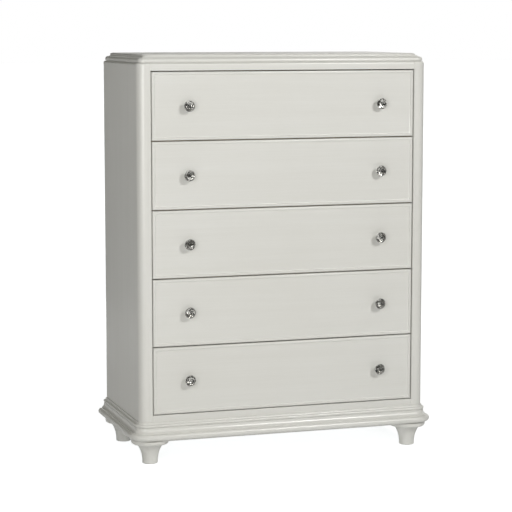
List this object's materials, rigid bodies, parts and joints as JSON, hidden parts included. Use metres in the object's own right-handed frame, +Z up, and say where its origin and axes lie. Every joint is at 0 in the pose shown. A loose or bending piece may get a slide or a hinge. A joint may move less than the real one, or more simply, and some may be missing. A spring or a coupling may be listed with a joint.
{
  "type": "tall chest of drawers",
  "caption": "Tall chest with a stack of equal full-width drawers on telescopic slides, a stepped top, a moulded base and turned feet.",
  "frame": {"origin": "on the floor, under the middle of the overall box; the box runs from the base moulding's front to the back of the case", "axes": "+Z up, -Y out of the drawers' fronts, +X to the right as seen from the front"},
  "size_m": [0.97, 0.45, 1.226],
  "materials": {
    "painted_wood": "semi-gloss off-white paint",
    "bare_wood": "clear matt",
    "zinc_steel": "zinc plated",
    "knob_metal": "polished",
    "crystal": "cut and polished"
  },
  "bodies": {
    "case": {"left_side_panel": "painted_wood", "right_side_panel": "painted_wood", "left_front_post": "painted_wood", "right_front_post": "painted_wood", "top_rail": "painted_wood", "bottom_rail": "painted_wood", "divider_rails": "bare_wood", "back_panel": "bare_wood", "sub_top": "painted_wood", "top_board": "painted_wood", "base_board": "painted_wood", "base_moulding_front": "painted_wood", "base_moulding_left": "painted_wood", "base_moulding_right": "painted_wood", "front_left_foot": "painted_wood", "front_right_foot": "painted_wood", "rear_left_foot": "painted_wood", "rear_right_foot": "painted_wood", "slide_cleats": "bare_wood", "case_slides": "zinc_steel"},
    "drawer_1": {"drawer_1_front": "painted_wood", "drawer_1_sides": "bare_wood", "drawer_1_back": "bare_wood", "drawer_1_bottom": "bare_wood", "drawer_1_runners": "zinc_steel", "drawer_1_knob_bases": "knob_metal", "drawer_1_knob_crystals": "crystal"},
    "middle_slides_1": {"drawer_1_middle_slides": "zinc_steel"},
    "drawer_2": {"drawer_2_front": "painted_wood", "drawer_2_sides": "bare_wood", "drawer_2_back": "bare_wood", "drawer_2_bottom": "bare_wood", "drawer_2_runners": "zinc_steel", "drawer_2_knob_bases": "knob_metal", "drawer_2_knob_crystals": "crystal"},
    "middle_slides_2": {"drawer_2_middle_slides": "zinc_steel"},
    "drawer_3": {"drawer_3_front": "painted_wood", "drawer_3_sides": "bare_wood", "drawer_3_back": "bare_wood", "drawer_3_bottom": "bare_wood", "drawer_3_runners": "zinc_steel", "drawer_3_knob_bases": "knob_metal", "drawer_3_knob_crystals": "crystal"},
    "middle_slides_3": {"drawer_3_middle_slides": "zinc_steel"},
    "drawer_4": {"drawer_4_front": "painted_wood", "drawer_4_sides": "bare_wood", "drawer_4_back": "bare_wood", "drawer_4_bottom": "bare_wood", "drawer_4_runners": "zinc_steel", "drawer_4_knob_bases": "knob_metal", "drawer_4_knob_crystals": "crystal"},
    "middle_slides_4": {"drawer_4_middle_slides": "zinc_steel"},
    "drawer_5": {"drawer_5_front": "painted_wood", "drawer_5_sides": "bare_wood", "drawer_5_back": "bare_wood", "drawer_5_bottom": "bare_wood", "drawer_5_runners": "zinc_steel", "drawer_5_knob_bases": "knob_metal", "drawer_5_knob_crystals": "crystal"},
    "middle_slides_5": {"drawer_5_middle_slides": "zinc_steel"}
  },
  "joints": [
    {"name": "drawer_1_slide", "type": "slide", "parent": "case", "child": "drawer_1", "axis": [0, -1, 0], "range_m": [0, 0.35]},
    {"name": "middle_slide_1", "type": "slide", "parent": "case", "child": "middle_slides_1", "axis": [0, -1, 0], "range_m": [0, 0.175]},
    {"name": "drawer_2_slide", "type": "slide", "parent": "case", "child": "drawer_2", "axis": [0, -1, 0], "range_m": [0, 0.35]},
    {"name": "middle_slide_2", "type": "slide", "parent": "case", "child": "middle_slides_2", "axis": [0, -1, 0], "range_m": [0, 0.175]},
    {"name": "drawer_3_slide", "type": "slide", "parent": "case", "child": "drawer_3", "axis": [0, -1, 0], "range_m": [0, 0.35]},
    {"name": "middle_slide_3", "type": "slide", "parent": "case", "child": "middle_slides_3", "axis": [0, -1, 0], "range_m": [0, 0.175]},
    {"name": "drawer_4_slide", "type": "slide", "parent": "case", "child": "drawer_4", "axis": [0, -1, 0], "range_m": [0, 0.35]},
    {"name": "middle_slide_4", "type": "slide", "parent": "case", "child": "middle_slides_4", "axis": [0, -1, 0], "range_m": [0, 0.175]},
    {"name": "drawer_5_slide", "type": "slide", "parent": "case", "child": "drawer_5", "axis": [0, -1, 0], "range_m": [0, 0.35]},
    {"name": "middle_slide_5", "type": "slide", "parent": "case", "child": "middle_slides_5", "axis": [0, -1, 0], "range_m": [0, 0.175]}
  ],
  "couplings": [
    {"joint": "middle_slide_1", "follows": "drawer_1_slide", "ratio": 0.5},
    {"joint": "middle_slide_2", "follows": "drawer_2_slide", "ratio": 0.5},
    {"joint": "middle_slide_3", "follows": "drawer_3_slide", "ratio": 0.5},
    {"joint": "middle_slide_4", "follows": "drawer_4_slide", "ratio": 0.5},
    {"joint": "middle_slide_5", "follows": "drawer_5_slide", "ratio": 0.5}
  ]
}
